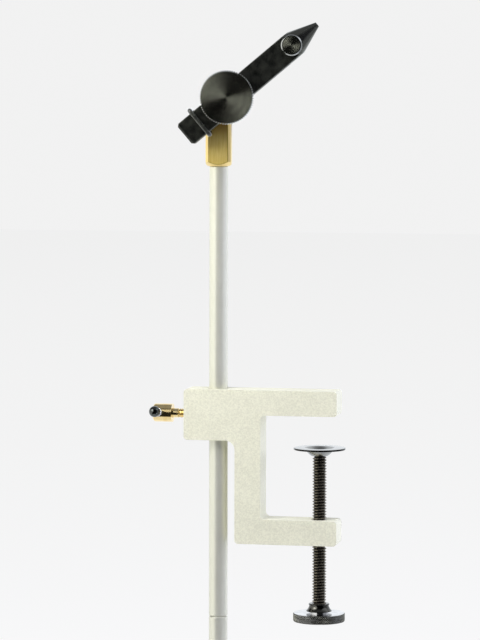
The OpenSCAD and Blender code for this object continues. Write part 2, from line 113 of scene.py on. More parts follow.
view = {
    "yaw": 11.266,  # degrees to the right of straight in front
    "pitch": 3.938,  # degrees looking down
    "roll": 0.11,  # degrees
    "right": 10.822 * mm,  # aim, to the right of the stem's axis
    "height": 47.379 * mm,  # aim, above the clamp's seat
    "distance": 1599.85 * mm,
    "lens": 177.75,
    "near": 0.05,
    "far": 30,
}


def makeCamera():
    yaw, pitch, roll = (math.radians(view[name]) for name in ("yaw", "pitch", "roll"))
    forward = np.array([-math.sin(yaw) * math.cos(pitch), math.cos(yaw) * math.cos(pitch), -math.sin(pitch)])
    level = np.array([math.cos(yaw), math.sin(yaw), 0])
    upright = np.cross(level, forward)
    right = level * math.cos(roll) + upright * math.sin(roll)
    up = upright * math.cos(roll) - level * math.sin(roll)
    aim = stemAxis.origin * (1, 1, 0) + level * view["right"] + np.array([0, 0, view["height"]])
    camera = bpy.data.objects.new("camera", bpy.data.cameras.new("camera"))
    scene.collection.objects.link(camera)
    camera.data.lens = view["lens"]
    camera.data.clip_start, camera.data.clip_end = view["near"], view["far"]
    turn = Matrix(np.column_stack([right, up, -forward]).tolist()).to_4x4()
    turn.translation = (aim - forward * view["distance"]).tolist()
    camera.matrix_world = turn
    scene.camera = camera


makeCamera()
print("camera placed")

# Shader maths


class Wire:  # a shader socket that can stand in a sum
    def __init__(self, graph, socket):
        self.graph, self.socket = graph, socket

    def math(self, operation, *values):
        return self.graph.add("Math", {"operation": operation}, dict(enumerate(values)))

    def __add__(self, other):
        return self.math("ADD", self, other)

    def __sub__(self, other):
        return self.math("SUBTRACT", self, other)

    def __rsub__(self, other):
        return self.math("SUBTRACT", other, self)

    def __mul__(self, other):
        return self.math("MULTIPLY", self, other)

    __radd__ = __add__
    __rmul__ = __mul__

    def size(self):  # without its sign
        return self.math("ABSOLUTE", self)

    def eased(self, low, high):  # 0 at low, 1 at high and smooth between
        sockets = {"Value": self, "From Min": low, "From Max": high}
        return self.graph.add("MapRange", {"interpolation_type": "SMOOTHSTEP"}, sockets)


class Graph:  # a node tree with the patterns used here
    def __init__(self, tree):
        self.tree = tree

    def add(self, kind, settings=None, sockets=None, output=0):
        made = self.tree.nodes.new("ShaderNode" + kind)
        for name, value in (settings or {}).items():
            setattr(made, name, value)
        for name, value in (sockets or {}).items():
            if isinstance(value, Wire):
                self.tree.links.new(value.socket, made.inputs[name])
            else:
                made.inputs[name].default_value = value
        return Wire(self, made.outputs[output])

    def where(self, place=None):  # object coordinates, or the local ones of a place
        here = self.add("TexCoord", output=3)
        if place is None:
            return here
        back = Matrix(place.turn.T.tolist()).to_euler()
        shift = (-(place.origin @ place.turn)).tolist()
        return self.add("Mapping", {}, {"Vector": here, "Location": shift, "Rotation": back})

    def noise(self, where, width, detail, stretch=None):  # width of a grain, in metres
        if stretch:
            where = self.add("Mapping", {}, {"Vector": where, "Scale": stretch})
        return self.add("TexNoise", {}, {"Vector": where, "Scale": 1 / width, "Detail": detail})

    def grooves(self, distance, pitch):  # uneven rings or rows along one distance
        sockets = {"W": distance, "Scale": 1 / pitch, "Detail": 3.0}
        return self.add("TexNoise", {"noise_dimensions": "1D"}, sockets)

    def blend(self, factor, first, second):  # a colour between two colours
        first, second = (colour if isinstance(colour, Wire) else (*colour, 1.0) for colour in (first, second))
        sockets = {"Factor": factor, 6: first, 7: second}  # 6 and 7 are the colours A and B
        return self.add("Mix", {"data_type": "RGBA"}, sockets, 2)

    def bump(self, height, depth):  # depth in metres for a height of 1
        return self.add("Bump", {}, {"Height": height, "Distance": depth})

    def aboutAxis(self, place):  # distance from a place's axis and height along it
        where = self.where(place)
        flat = self.add("VectorMath", {"operation": "MULTIPLY"}, {0: where, 1: (1, 1, 0)})
        radius = self.add("VectorMath", {"operation": "LENGTH"}, {0: flat}, 1)
        return radius, self.add("SeparateXYZ", {}, {0: where}, 2)

    def parts(self, place):  # the three local coordinates of a place
        where = self.where(place)
        return [self.add("SeparateXYZ", {}, {0: where}, index) for index in range(3)]


class Finish(Graph):  # a material: plain values on the shader's own sockets, which a plugged one overrides
    def __init__(self, name, constants):
        self.material = bpy.data.materials.new(name)
        self.material.use_nodes = True
        super().__init__(self.material.node_tree)
        self.shader = self.tree.nodes["Principled BSDF"]
        for socket, value in constants.items():
            self.shader.inputs[socket].default_value = value

    def plugged(self, sockets):
        for name, wire in sockets.items():
            self.tree.links.new(wire.socket, self.shader.inputs[name])
        return self.material


# Materials


def blastedAluminium():
    look = {"light": (0.90, 0.885, 0.70), "dark": (0.74, 0.725, 0.565), "grain": 0.75 * mm, "cloud": 12 * mm,
            "pit": 0.3 * mm, "depth": 0.05 * mm}
    finish = Finish("blastedAluminium", {"Metallic": 0.15, "Roughness": 0.6})
    here = finish.where()
    grain = finish.noise(here, look["grain"], 4.0)
    cloud = finish.noise(here, look["cloud"], 3.0)
    pits = finish.noise(here, look["pit"], 3.0)
    tone = (grain * 1.7 + cloud * 0.5 - 0.6).eased(0, 1)
    return finish.plugged({
        "Base Color": finish.blend(tone, look["dark"], look["light"]),
        "Roughness": 0.5 + grain * 0.16,
        "Normal": finish.bump(pits + grain * 0.8, look["depth"])})


def satinAluminium():
    look = {"light": (0.74, 0.735, 0.625), "dark": (0.67, 0.665, 0.565), "row": 0.25 * mm, "cloud": 7 * mm,
            "depth": 0.003 * mm}
    finish = Finish("satinAluminium", {"Metallic": 0.42, "Roughness": 0.34})
    rows = finish.grooves(finish.aboutAxis(stemAxis)[1], look["row"])
    cloud = finish.noise(finish.where(), look["cloud"], 3.0)
    return finish.plugged({
        "Base Color": finish.blend((rows * 0.6 + cloud * 0.6).eased(0.1, 1), look["dark"], look["light"]),
        "Roughness": 0.32 + cloud * 0.05,
        "Normal": finish.bump(rows, look["depth"])})


def brushedBrass():
    # the post: its bevels and its turned foot are rubbed bright, with a painted shade line just inside them;
    # painted shade darkens its face towards the top, under the jaws
    look = {"light": (1.0, 0.80, 0.30), "dark": (0.74, 0.52, 0.10), "bright": (0.88, 0.68, 0.30),
            "shadowBrown": (0.19, 0.092, 0.002), "inner": (0.36, 0.25, 0.0), "line": 0.25 * mm, "cloud": 5 * mm,
            "depth": 0.012 * mm, "shadedFrom": -5 * mm, "shadedTo": -22 * mm, "edge": 11.4 * mm,
            "footRadius": 5.65 * mm, "footSlope": 1.173, "foot": -28.9 * mm, "middle": 0.1 * mm,
            "besideShare": 0.85, "aboveShare": 0.45}
    zones = {"bevel": (0.2 * mm, 0.08 * mm), "beside": (0.6 * mm, 0.4 * mm),  # how far inside its edge
             "foot": (0.16 * mm, 0.04 * mm), "above": (0.7 * mm, 0.45 * mm)}  # each starts and is full

    def zone(name, distance, limit):
        starts, full = zones[name]
        return distance.eased(limit - starts, limit - full)

    finish = Finish("brushedBrass", {"Metallic": 0.35, "Roughness": 0.3})
    lines = finish.noise(finish.where(postAxis), look["line"], 3.0, (1, 1, 0.03))
    cloud = finish.noise(finish.where(), look["cloud"], 3.0)
    out, side, rise = finish.parts(postAxis)
    edge = out.size() + side.size()
    cone = finish.aboutAxis(postAxis)[0] - (rise - look["foot"]) * look["footSlope"]
    bevel, beside = (zone(name, edge, look["edge"]) for name in ("bevel", "beside"))
    foot, above = (zone(name, cone, look["footRadius"]) for name in ("foot", "above"))
    beside = beside * side.eased(-look["middle"], look["middle"])  # the line shows on one side only
    rubbed = bevel + foot - bevel * foot
    # painted shade: a darker line just inside the bevels on one side and above the foot
    inside = beside * look["besideShare"] + above * look["aboveShare"] * (1 - beside)
    plain = finish.blend((lines * 1.5 + cloud * 0.4 - 0.45).eased(0, 1), look["dark"], look["light"])
    # painted shade: the face darkens towards the top, where the jaws and knob stand over it
    shadowShare = rise.eased(look["shadedTo"], look["shadedFrom"]) * (1 - rubbed) * (0.75 + lines * 0.4)
    lined = finish.blend(inside * (1 - rubbed), finish.blend(shadowShare, plain, look["shadowBrown"]), look["inner"])
    return finish.plugged({
        "Base Color": finish.blend(rubbed * (0.7 + lines * 0.4), lined, look["bright"]),
        "Roughness": 0.26 + lines * 0.14,
        "Metallic": 0.35 + rubbed * 0.55,
        "Normal": finish.bump(lines, look["depth"])})


def turnedBrass():
    # the lock screw: its countersinks round the cross bar are pale, rougher and less metallic than the brass
    look = {"light": (0.96, 0.80, 0.48), "dark": (0.74, 0.50, 0.17), "paleColour": (0.93, 0.93, 0.95),
            "paleTo": 2.32 * mm, "brassFrom": 2.42 * mm, "line": 0.3 * mm, "cloud": 4 * mm,
            "depth": 0.004 * mm}
    finish = Finish("turnedBrass", {"Metallic": 1.0, "Roughness": 0.14})
    sunk = 1 - finish.aboutAxis(barAxis)[0].eased(look["paleTo"], look["brassFrom"])
    lines = finish.noise(finish.where(lockAxis), look["line"], 3.0, (0.06, 0.06, 1))
    cloud = finish.noise(finish.where(), look["cloud"], 3.0)
    plating = finish.blend((lines * 0.7 + cloud * 0.7 - 0.1).eased(0, 1), look["dark"], look["light"])
    return finish.plugged({
        "Base Color": finish.blend(sunk, plating, look["paleColour"]),
        "Roughness": 0.08 + lines * 0.12 + sunk * 0.3,
        "Metallic": 1 - sunk * 0.85,
        "Normal": finish.bump(lines, look["depth"])})


def oiledScrew():
    look = {"light": (0.13, 0.12, 0.105), "dark": (0.06, 0.056, 0.05), "cloud": 5 * mm, "grain": 0.4 * mm,
            "depth": 0.014 * mm}
    finish = Finish("oiledScrew", {"Metallic": 0.9, "Roughness": 0.26})
    here = finish.where()
    cloud = finish.noise(here, look["cloud"], 4.0)
    grain = finish.noise(here, look["grain"], 3.0)
    return finish.plugged({
        "Base Color": finish.blend(cloud.eased(0.3, 0.75), look["dark"], look["light"]),
        "Roughness": 0.18 + cloud * 0.16,
        "Normal": finish.bump(grain, look["depth"])})


def jawOxide():
    # black oxide, rubbed through to grey along the jaws' edges and at the tail; the grey is also a painted
    # highlight on the edges and a painted reflection on the tail's end
    look = {"light": (0.115, 0.12, 0.103), "dark": (0.018, 0.019, 0.018), "rubbed": (0.34, 0.345, 0.31),
            "turned": (0.1, 0.102, 0.092), "nose": 50.5 * mm, "noseSoft": 1.5 * mm, "cloud": 4 * mm,
            "grain": 0.35 * mm, "patch": 1.5 * mm, "depth": 0.016 * mm,
            "edge": 6.2 * mm, "soft": 0.22 * mm, "tail": 19.75 * mm, "edgeShare": 0.35, "tailShare": 0.75}
    finish = Finish("jawOxide", {"Metallic": 0.9, "Roughness": 0.34})
    here = finish.where()
    cloud = finish.noise(here, look["cloud"], 5.0)
    grain = finish.noise(here, look["grain"], 3.0)
    patch = finish.noise(here, look["patch"], 3.0)
    along, side = finish.parts(headAxis)[:2]
    edge = side.size().eased(look["edge"] - look["soft"], look["edge"] + look["soft"])
    tail = (0 - along).eased(look["tail"] - look["soft"], look["tail"] + look["soft"])
    # partly real wear, partly painted highlight and reflection: grey patches along the edges and at the tail's end
    wearAndGlint = (edge * look["edgeShare"] + tail * look["tailShare"]) * patch.eased(0.2, 0.6)
    nose = along.eased(look["nose"] - look["noseSoft"], look["nose"] + look["noseSoft"])
    oxide = finish.blend((cloud * 0.8 + grain * 0.5).eased(0.35, 0.95), look["dark"], look["light"])
    return finish.plugged({
        "Base Color": finish.blend(wearAndGlint, finish.blend(nose, oxide, look["turned"]), look["rubbed"]),
        "Roughness": 0.26 + cloud * 0.16 - nose * 0.22,
        "Normal": finish.bump(grain, look["depth"])})


def oiledThreadShadedRoots():
    # bright on the crests and dark down in the roots of the clamp screw's thread; the dark in the roots is painted
    # shade
    look = {"crest": (0.26, 0.235, 0.19), "root": (0.02, 0.018, 0.014), "crestRadius": 3.6 * mm,
            "rootRadius": 2.75 * mm, "cloud": 3 * mm, "grain": 0.3 * mm, "depth": 0.01 * mm}
    finish = Finish("oiledThreadShadedRoots", {"Metallic": 0.85, "Roughness": 0.28})
    cloud = finish.noise(finish.where(), look["cloud"], 3.0)
    grain = finish.noise(finish.where(), look["grain"], 3.0)
    # painted shade: dark in the roots, the thread's own colour on the crests
    rise = finish.aboutAxis(screwAxis)[0].eased(look["rootRadius"], look["crestRadius"])
    return finish.plugged({
        "Base Color": finish.blend(rise * (0.7 + cloud * 0.5), look["root"], look["crest"]),
        "Roughness": 0.2 + cloud * 0.16,
        "Normal": finish.bump(grain, look["depth"])})


def turnedBlack(name, node, place, edge, paleColour):
    # lathe marks: a wave of the distance from the axis, so its slopes point in and out all the way round;
    # the rim of the front face is pale, partly worn bare and partly a painted glint on the teeth and bevel, with a
    # dark line just inside it
    look = {"light": (0.275, 0.282, 0.24), "dark": (0.195, 0.199, 0.17), "darkLine": (0.02, 0.02, 0.019),
            "ring": 0.2 * mm, "band": 1.7 * mm, "cloud": 4 * mm, "depth": 0.022 * mm, "uneven": 0.2,
            "soft": 0.05 * mm, "line": 0.34 * mm, "tip": 1.1 * mm}
    finish = Finish(name, {"Metallic": 1.0, "Roughness": 0.2})
    radius, height = finish.aboutAxis(place)
    wave = finish.add("Math", {"operation": "SINE"}, {0: radius * (2 * math.pi / look["ring"])})
    bands = finish.grooves(radius, look["band"])
    cloud = finish.noise(finish.where(), look["cloud"], 3.0)
    uneven = finish.grooves(radius, look["ring"] * 2)
    high, full = measured(node, place)[1:]
    inFront = height.eased(high - look["tip"] - look["soft"], high - look["tip"] + look["soft"])
    outside = radius.eased(full - edge - look["line"] - look["soft"], full - edge - look["line"])
    # the pale rim: partly worn bare, partly a painted glint on the teeth and bevel
    wearAndGlint = radius.eased(full - edge - look["soft"], full - edge + look["soft"]) * inFront
    face = finish.blend((bands * 0.6 + cloud * 0.5).eased(0.2, 0.9), look["dark"], look["light"])
    wave = wave * (1 - outside)
    return finish.plugged({
        "Base Color": finish.blend(wearAndGlint, finish.blend(outside * inFront, face, look["darkLine"]), paleColour),
        "Roughness": 0.14 + cloud * 0.12,
        "Normal": finish.bump(wave * 0.5 + uneven * look["uneven"], look["depth"])})


def plated(name, rim, light, dark, rimColour, roughness, crest=None):
    # the faces of a turned and plated piece, and its rim from a radius outwards, up to a knurl's crests
    look = {"cloud": 4 * mm, "grain": 0.5 * mm, "depth": 0.001 * mm, "soft": 0.05 * mm, "reach": 0.5 * mm,
            "rimRoughness": 0.05}
    finish = Finish(name, {"Metallic": 1.0, "Roughness": roughness})
    cloud = finish.noise(finish.where(), look["cloud"], 4.0)
    grain = finish.noise(finish.where(), look["grain"], 2.0)
    radius = finish.aboutAxis(screwAxis)[0]
    outside = radius.eased(rim - look["soft"], rim + look["soft"])
    face = finish.blend(cloud.eased(0.3, 0.8), dark, light)
    side = finish.blend(radius.eased(rim, rim + look["reach"]), rimColour, crest) if crest else rimColour
    return finish.plugged({
        "Base Color": finish.blend(outside, face, side),
        "Roughness": roughness - 0.05 + cloud * 0.1 + outside * look["rimRoughness"],
        "Normal": finish.bump(grain, look["depth"])})


def glossyBall():
    look = {"light": (0.12, 0.128, 0.124), "dark": (0.08, 0.086, 0.085), "cloud": 1.5 * mm}
    finish = Finish("glossyBall", {"Metallic": 1.0, "Roughness": 0.07})
    cloud = finish.noise(finish.where(), look["cloud"], 3.0)
    return finish.plugged({
        "Base Color": finish.blend(cloud.eased(0.35, 0.7), look["dark"], look["light"]),
        "Roughness": 0.05 + cloud * 0.04})


def ringRubber():
    look = {"light": (0.045, 0.047, 0.04), "dark": (0.015, 0.016, 0.014), "cloud": 2 * mm, "grain": 0.2 * mm,
            "depth": 0.006 * mm}
    finish = Finish("ringRubber", {"Roughness": 0.2, "Coat Weight": 1.0, "Coat Roughness": 0.06})
    here = finish.where()
    cloud = finish.noise(here, look["cloud"], 4.0)
    grain = finish.noise(here, look["grain"], 2.0)
    return finish.plugged({
        "Base Color": finish.blend(cloud.eased(0.3, 0.75), look["dark"], look["light"]),
        "Roughness": 0.16 + cloud * 0.1,
        "Normal": finish.bump(grain, look["depth"])})


def brightSteel(name, place):
    look = {"light": (0.68, 0.68, 0.68), "dark": (0.50, 0.50, 0.51), "cloud": 3 * mm, "line": 0.2 * mm,
            "depth": 0.008 * mm}
    finish = Finish(name, {"Metallic": 1.0, "Roughness": 0.2})
    radius, height = finish.aboutAxis(place)
    cloud = finish.noise(finish.where(), look["cloud"], 3.0)
    rows = finish.grooves(height + radius, look["line"])
    return finish.plugged({
        "Base Color": finish.blend(cloud.eased(0.2, 0.8), look["dark"], look["light"]),
        "Roughness": 0.14 + rows * 0.16,
        "Normal": finish.bump(rows, look["depth"])})


finishes = {
    "clamp_aluminium": blastedAluminium(),
    "stem_aluminium": satinAluminium(),
    "brass": brushedBrass(),
    "lock_brass": turnedBrass(),
    "jaw_steel": jawOxide(),
    "knob_steel": turnedBlack("turnedThumbKnob", "thumb_knob", thumbAxis, 0.27 * mm, (0.78, 0.79, 0.78)),
    "adjust_steel": turnedBlack("turnedAdjustKnob", "adjust_knob", adjustAxis, 0.6 * mm, (0.42, 0.43, 0.43)),
    "screw_steel": oiledScrew(),
    "thread_steel": oiledThreadShadedRoots(),
    "black_chrome": plated("blackChrome", 20 * mm, (0.10, 0.098, 0.09), (0.06, 0.06, 0.057),
                           (0.06, 0.06, 0.057), 0.07),
    "grip_chrome": plated("gripChrome", 12.75 * mm, (0.85, 0.85, 0.87), (0.50, 0.50, 0.52),
                          (0.03, 0.03, 0.027), 0.12, (0.36, 0.355, 0.325)),
    "pad_chrome": plated("padChrome", 12.95 * mm, (0.37, 0.37, 0.365), (0.25, 0.25, 0.245),
                         (0.02, 0.02, 0.02), 0.1),
    "bright_steel": brightSteel("brightBar", barAxis),
    "washer_steel": brightSteel("brightWasher", headAxis),
    "ball_plastic": glossyBall(),
    "rubber": ringRubber(),
}
print("materials made:", len(finishes))

# Meshes

weld = 0.0005 * mm  # corners nearer than this are one
flat = 0.4  # degrees up to which neighbouring faces are one
broken = 28.0  # degrees from which an edge is broken


def finished(name, mesh, finish, replaced, sharp):
    # doubles merged and faces turned outwards, then the finish and the node that the piece stands for
    work = bmesh.new()
    work.from_mesh(mesh)
    bmesh.ops.remove_doubles(work, verts=work.verts, dist=weld)
    bmesh.ops.recalc_face_normals(work, faces=work.faces)
    work.to_mesh(mesh)
    work.free()
    mesh.shade_smooth()
    mesh.set_sharp_from_angle(angle=math.radians(sharp))
    mesh.materials.clear()
    mesh.materials.append(finishes[finish])
    piece = bpy.data.objects.new(name, mesh)
    scene.collection.objects.link(piece)
    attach(piece, bodyOf[replaced])
    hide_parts(replaced)
    return piece


def netOf(grid, shift=0, ring=False):
    # quads between neighbouring rows; each row closes on the row that is shift places on,
    # and a ring's last row on its first
    rows, columns = grid.shape[:2]
    index = np.arange(rows * columns).reshape(rows, columns)
    index = np.concatenate([index, index[np.minimum(np.arange(rows) + shift, rows - 1), :1]], axis=1)
    if ring:
        index = np.concatenate([index, index[:1]], axis=0)
    quads = np.stack([index[:-1, :-1], index[:-1, 1:], index[1:, 1:], index[1:, :-1]], axis=-1)
    return grid.reshape(-1, 3), quads.reshape(-1, 4)


def pieceOf(name, nets, place, finish, replaced, sharp=35.0):
    # the nets as one mesh, moved to the piece's place
    starts = np.cumsum([0, *(len(points) for points, quads in nets[:-1])])
    points = np.concatenate([net[0] for net in nets])
    quads = np.concatenate([net[1] + start for net, start in zip(nets, starts)])
    mesh = bpy.data.meshes.new(name)
    mesh.from_pydata(place.toWorld(points).tolist(), [], quads.tolist())
    return finished(name, mesh, finish, replaced, sharp)


def filleted(corners, steps=5):
    # a path through (radius, height, fillet) corners; each fillet is an arc that touches both sides
    path = []
    for before, here, after in zip([None, *corners[:-1]], corners, [*corners[1:], None]):
        point, fillet = np.array(here[:2], float), here[2] if len(here) > 2 else 0
        if before is None or after is None or not fillet:
            path.append(point[None])
            continue
        inward, outward = unit(np.array(before[:2]) - point), unit(np.array(after[:2]) - point)
        half = math.acos(np.clip(np.dot(inward, outward), -1, 1)) / 2
        centre = point + unit(inward + outward) * fillet / math.sin(half)
        start, stop = (point + way * fillet / math.tan(half) - centre for way in (inward, outward))
        share = np.linspace(0, 1, steps)[:, None]
        arc = start * (1 - share) + stop * share
        path.append(centre + arc / np.linalg.norm(arc, axis=1)[:, None] * fillet)
    return np.concatenate(path)


def turnedGrid(corners, columns=96, steps=5, shape=None):
    # each point of the path goes round the axis: radius times cosine and sine, and its height along it
    profile = filleted(corners, steps)
    angle = np.linspace(0, 2 * np.pi, columns, endpoint=False)
    radius = np.repeat(profile[:, :1], columns, axis=1)
    height = np.repeat(profile[:, 1:], columns, axis=1)
    if shape:
        radius, height = shape(radius, height, angle[None])
    return np.stack([radius * np.cos(angle), radius * np.sin(angle), height], axis=-1)


def threadGrid(low, high, radius, thread, columns=48):
    # rows climb one pitch in a turn and lie on the root or the crest; both ends run out on a cone
    share = np.cumsum([0, thread["root"], (1 - thread["root"] - thread["crest"]) / 2, thread["crest"]])
    hollow = np.array([1.0, 1.0, 0.0, 0.0]) * thread["depth"]
    turns = int(math.ceil((high - low) / thread["pitch"])) + 2
    base = (np.arange(turns)[:, None] - 1 + share).reshape(-1, 1)
    angle = np.linspace(0, 2 * np.pi, columns, endpoint=False)
    height = np.clip(low + (base + angle / (2 * np.pi)) * thread["pitch"], low, high)
    fromEnd = np.minimum(height - low, high - height)
    runOut = radius - thread["depth"] + np.minimum(fromEnd, thread["depth"])
    reach = np.minimum(radius - np.tile(hollow, turns)[:, None], runOut)
    return np.stack([reach * np.cos(angle), reach * np.sin(angle), height], axis=-1)


def threadedPiece(name, low, high, radius, thread, place, finish, replaced, above=(), below=(), columns=48):
    # a threaded length whose ends are closed by the corners above and below it
    root = radius - thread["depth"]
    ends = [[(root, high), *above], [(root, low), *below]]
    nets = [netOf(threadGrid(low, high, radius, thread, columns), 4)]
    nets += [netOf(turnedGrid([*corners, (0, corners[-1][1])], columns)) for corners in ends]
    return pieceOf(name, nets, place, finish, replaced, 40.0)


def softened(name, replaced, finish, width, segments):
    # the CAD node's own shape with its edges broken by a small round
    mesh = frame["nodes"][replaced].data.copy()
    mesh.name = name
    work = bmesh.new()
    work.from_mesh(mesh)
    bmesh.ops.remove_doubles(work, verts=work.verts, dist=weld * 2)
    bmesh.ops.dissolve_limit(work, angle_limit=math.radians(flat), verts=work.verts, edges=work.edges)
    work.to_mesh(mesh)
    work.free()
    piece = finished(name, mesh, finish, replaced, broken)
    bevel = piece.modifiers.new("edges", "BEVEL")
    bevel.width = width
    bevel.segments = segments
    bevel.limit_method = "ANGLE"
    bevel.angle_limit = math.radians(broken)
    bevel.harden_normals = True
    bevel.use_clamp_overlap = True
    return piece


# Pieces cut from plate, rod and bar

edges = {  # the node, its finish, the width of its broken edges and the steps across them
    "clampFrame": ("clamp_frame", "clamp_aluminium", 0.35 * mm, 3),
    "stemUpper": ("stem_upper", "stem_aluminium", 0.12 * mm, 2),
    "stemLower": ("stem_lower", "stem_aluminium", 0.12 * mm, 2),
    "headPost": ("head_post", "brass", 0.16 * mm, 2),
    "rearJaw": ("rear_jaw", "jaw_steel", 0.3 * mm, 3),
    "frontJaw": ("front_jaw", "jaw_steel", 0.3 * mm, 3),
    "lockHead": ("lock_screw_head", "lock_brass", 0.15 * mm, 2),
    "pivotScrew": ("jaw_pivot_screw", "screw_steel", 0.2 * mm, 2),
    "grubScrew": ("stem_grub_screw", "screw_steel", 0.1 * mm, 2),
}
for name, (replaced, finish, width, segments) in edges.items():
    softened(name, replaced, finish, width, segments)
print("cut pieces made")

# Thumb screw and its knurled knob

thumb = {
    "hubRadius": 6.2 * mm, "hubHeight": 1.6 * mm, "boreRadius": 3.225 * mm, "boreHeight": 6.1 * mm,
    "chamfer": 0.6 * mm, "teeth": 72, "toothDepth": 0.8 * mm, "crest": 0.28, "root": 0.2, "columns": 8,
    "rings": (0.66, 0.33),  # further rings on the front face, in shares of its radius
    "soft": 0.1 * mm, "thread": {"pitch": 1.27 * mm, "depth": 0.55 * mm, "root": 0.14, "crest": 0.2},
    "noseRadius": 2.1 * mm, "noseHeight": 1.5 * mm,
}


def knurled(radius, height, angle):
    # a straight knurl: a blunt triangle wave cuts the radius wherever it reaches past the teeth's roots
    full = measured("thumb_knob", thumbAxis)[2]
    wave = np.abs((angle * thumb["teeth"] / (2 * np.pi)) % 1 - 0.5) * 2
    dip = np.clip((wave - thumb["crest"]) / (1 - thumb["crest"] - thumb["root"]), 0, 1) * thumb["toothDepth"]
    return np.minimum(radius, full - dip), height


def makeThumbScrew():
    # the knob goes from its bore over the hub and the knurled rim to the front face; the stud ends in a nose
    low, high, full = measured("thumb_knob", thumbAxis)
    soft, chamfer, hub = thumb["soft"], thumb["chamfer"], thumb["hubHeight"]
    grid = turnedGrid([
        (0, low + thumb["boreHeight"]), (thumb["boreRadius"], low + thumb["boreHeight"]),
        (thumb["boreRadius"], low), (thumb["hubRadius"], low, 3 * soft), (thumb["hubRadius"], low + hub),
        (full - chamfer, low + hub, soft), (full, low + hub + chamfer), (full, high - chamfer),
        (full - chamfer, high, soft), (full - 2 * chamfer, high),
        *((full * share, high) for share in thumb["rings"]), (0, high)],
        thumb["teeth"] * thumb["columns"], 4, knurled)
    pieceOf("thumbKnob", [netOf(grid)], thumbAxis, "knob_steel", "thumb_knob", 30.0)
    low, high, full = measured("thumb_stud", thumbAxis)
    shoulder = low + thumb["noseHeight"]
    nose = [(thumb["noseRadius"], shoulder), (thumb["noseRadius"], low, 3 * soft)]
    threadedPiece("thumbStud", shoulder, high, full, thumb["thread"], thumbAxis, "screw_steel", "thumb_stud",
                  below=nose)


makeThumbScrew()

# Adjusting screw and its small knob

adjust = {
    "boreRadius": 2.45 * mm, "boreHeight": 3.1 * mm, "bevel": 0.55 * mm, "cone": 0.3 * mm, "soft": 0.08 * mm,
    "seatRadius": 2.5 * mm,
    "thread": {"pitch": 0.79375 * mm, "depth": 0.42 * mm, "root": 0.14, "crest": 0.16},
}


def makeAdjustScrew():
    # the knob's back is a low cone round its seat, and both its edges are bevelled
    low, high, full = measured("adjust_knob", adjustAxis)
    bevel, soft = adjust["bevel"], adjust["soft"]
    grid = turnedGrid([
        (0, low + adjust["boreHeight"]), (adjust["boreRadius"], low + adjust["boreHeight"]),
        (adjust["boreRadius"], low), (adjust["seatRadius"], low), (full - bevel, low + adjust["cone"], soft),
        (full, low + adjust["cone"] + bevel, soft), (full, high - bevel, soft), (full - bevel, high, soft),
        (full * 0.5, high), (0, high)], 96, 4)
    pieceOf("adjustKnob", [netOf(grid)], adjustAxis, "adjust_steel", "adjust_knob", 30.0)
    low, high, full = measured("adjust_stud", adjustAxis)
    threadedPiece("adjustStud", low, high, full, adjust["thread"], adjustAxis, "screw_steel", "adjust_stud")


makeAdjustScrew()
print("jaw screws made")

# Rubber ring

ring = {"along": -10.9 * mm, "near": 7.95 * mm, "far": 20.85 * mm, "wide": 7.75 * mm, "bend": 1.3 * mm,
        "thin": 0.05, "cord": 1.2 * mm, "bendSteps": 12, "runSteps": 10, "cordSteps": 24}


def makeRing():
    # a round cord along a rounded rectangle: each station's circle lies in its outward way and the jaws' way
    run = ring["runSteps"]
    centre = np.array([(ring["near"] + ring["far"]) / 2, 0])
    half = np.array([(ring["far"] - ring["near"]) / 2, ring["wide"]]) - ring["bend"]
    turn = np.linspace(0, np.pi / 2, ring["bendSteps"])
    path, outward = [], []
    for quarter in range(4):
        way = np.stack([np.cos(turn + quarter * np.pi / 2), np.sin(turn + quarter * np.pi / 2)], axis=-1)
        middle = (quarter + 0.5) * np.pi / 2  # the way to this bend's middle
        corner = half * np.sign([math.cos(middle), math.sin(middle)])
        path.append(centre + corner + way * ring["bend"])
        outward.append(way)
    path, outward = np.concatenate(path), np.concatenate(outward)
    after, afterWay = np.roll(path, -1, axis=0), np.roll(outward, -1, axis=0)
    share = np.linspace(0, 1, run, endpoint=False)[None, :, None]
    far = np.linalg.norm(after - path, axis=1) > ring["bend"]
    keep = far[:, None] | (np.arange(run) == 0)[None]
    stations = (path[:, None] * (1 - share) + after[:, None] * share)[keep]
    ways = (outward[:, None] * (1 - share) + afterWay[:, None] * share)[keep]
    angle = np.linspace(0, 2 * np.pi, ring["cordSteps"], endpoint=False)
    bent = np.repeat(~far[:, None], run, axis=1)[keep][:, None]
    cord = ring["cord"] * (1 - ring["thin"] * bent)
    spread = stations[:, None] + ways[:, None] * (cord * np.cos(angle))[..., None]
    along = ring["along"] + cord * np.sin(angle)
    grid = np.stack([along, spread[..., 1], spread[..., 0]], axis=-1)
    pieceOf("rubberRing", [netOf(grid, ring=True)], headAxis, "rubber", "jaw_rubber_ring", 60.0)


makeRing()

# Clamp screw, pad, knob and collar

spindle = {
    "thread": {"pitch": 1.45 * mm, "depth": 0.85 * mm, "root": 0.1, "crest": 0.14},
    "shoulder": -20.6 * mm, "journal": 2.1 * mm, "rivet": 0.9 * mm, "rivetRadius": 3.2 * mm,
    "rivetSoft": 0.35 * mm, "domeDrop": 0.3, "domeShare": 0.7,  # shares of the rivet's height and radius
}
pad = {
    "rim": 0.9 * mm, "plate": 1.2 * mm, "land": 5.4 * mm, "dish": 1.3 * mm, "recess": 4.8 * mm,
    "floor": 2.4 * mm, "bore": 2.3 * mm, "boss": 7.0 * mm, "soft": 0.1 * mm,
    "ballHeight": 2.693 * mm, "ballRadius": 8.01 * mm,
}
grip = {
    "bevel": 0.3 * mm, "knurlDepth": 0.42 * mm, "knurls": 74, "neckRadius": 4.8 * mm, "neckHeight": 0.9 * mm,
    "boreRadius": 3.65 * mm, "boreShare": 0.3, "soft": 0.1 * mm, "rows": 34, "columns": 6,
    "ridge": 1.15, "slope": 1.6,
}
collar = {"lip": 0.3 * mm, "waist": 5.0 * mm, "top": 5.3 * mm, "bore": 3.65 * mm, "flare": 1.8}


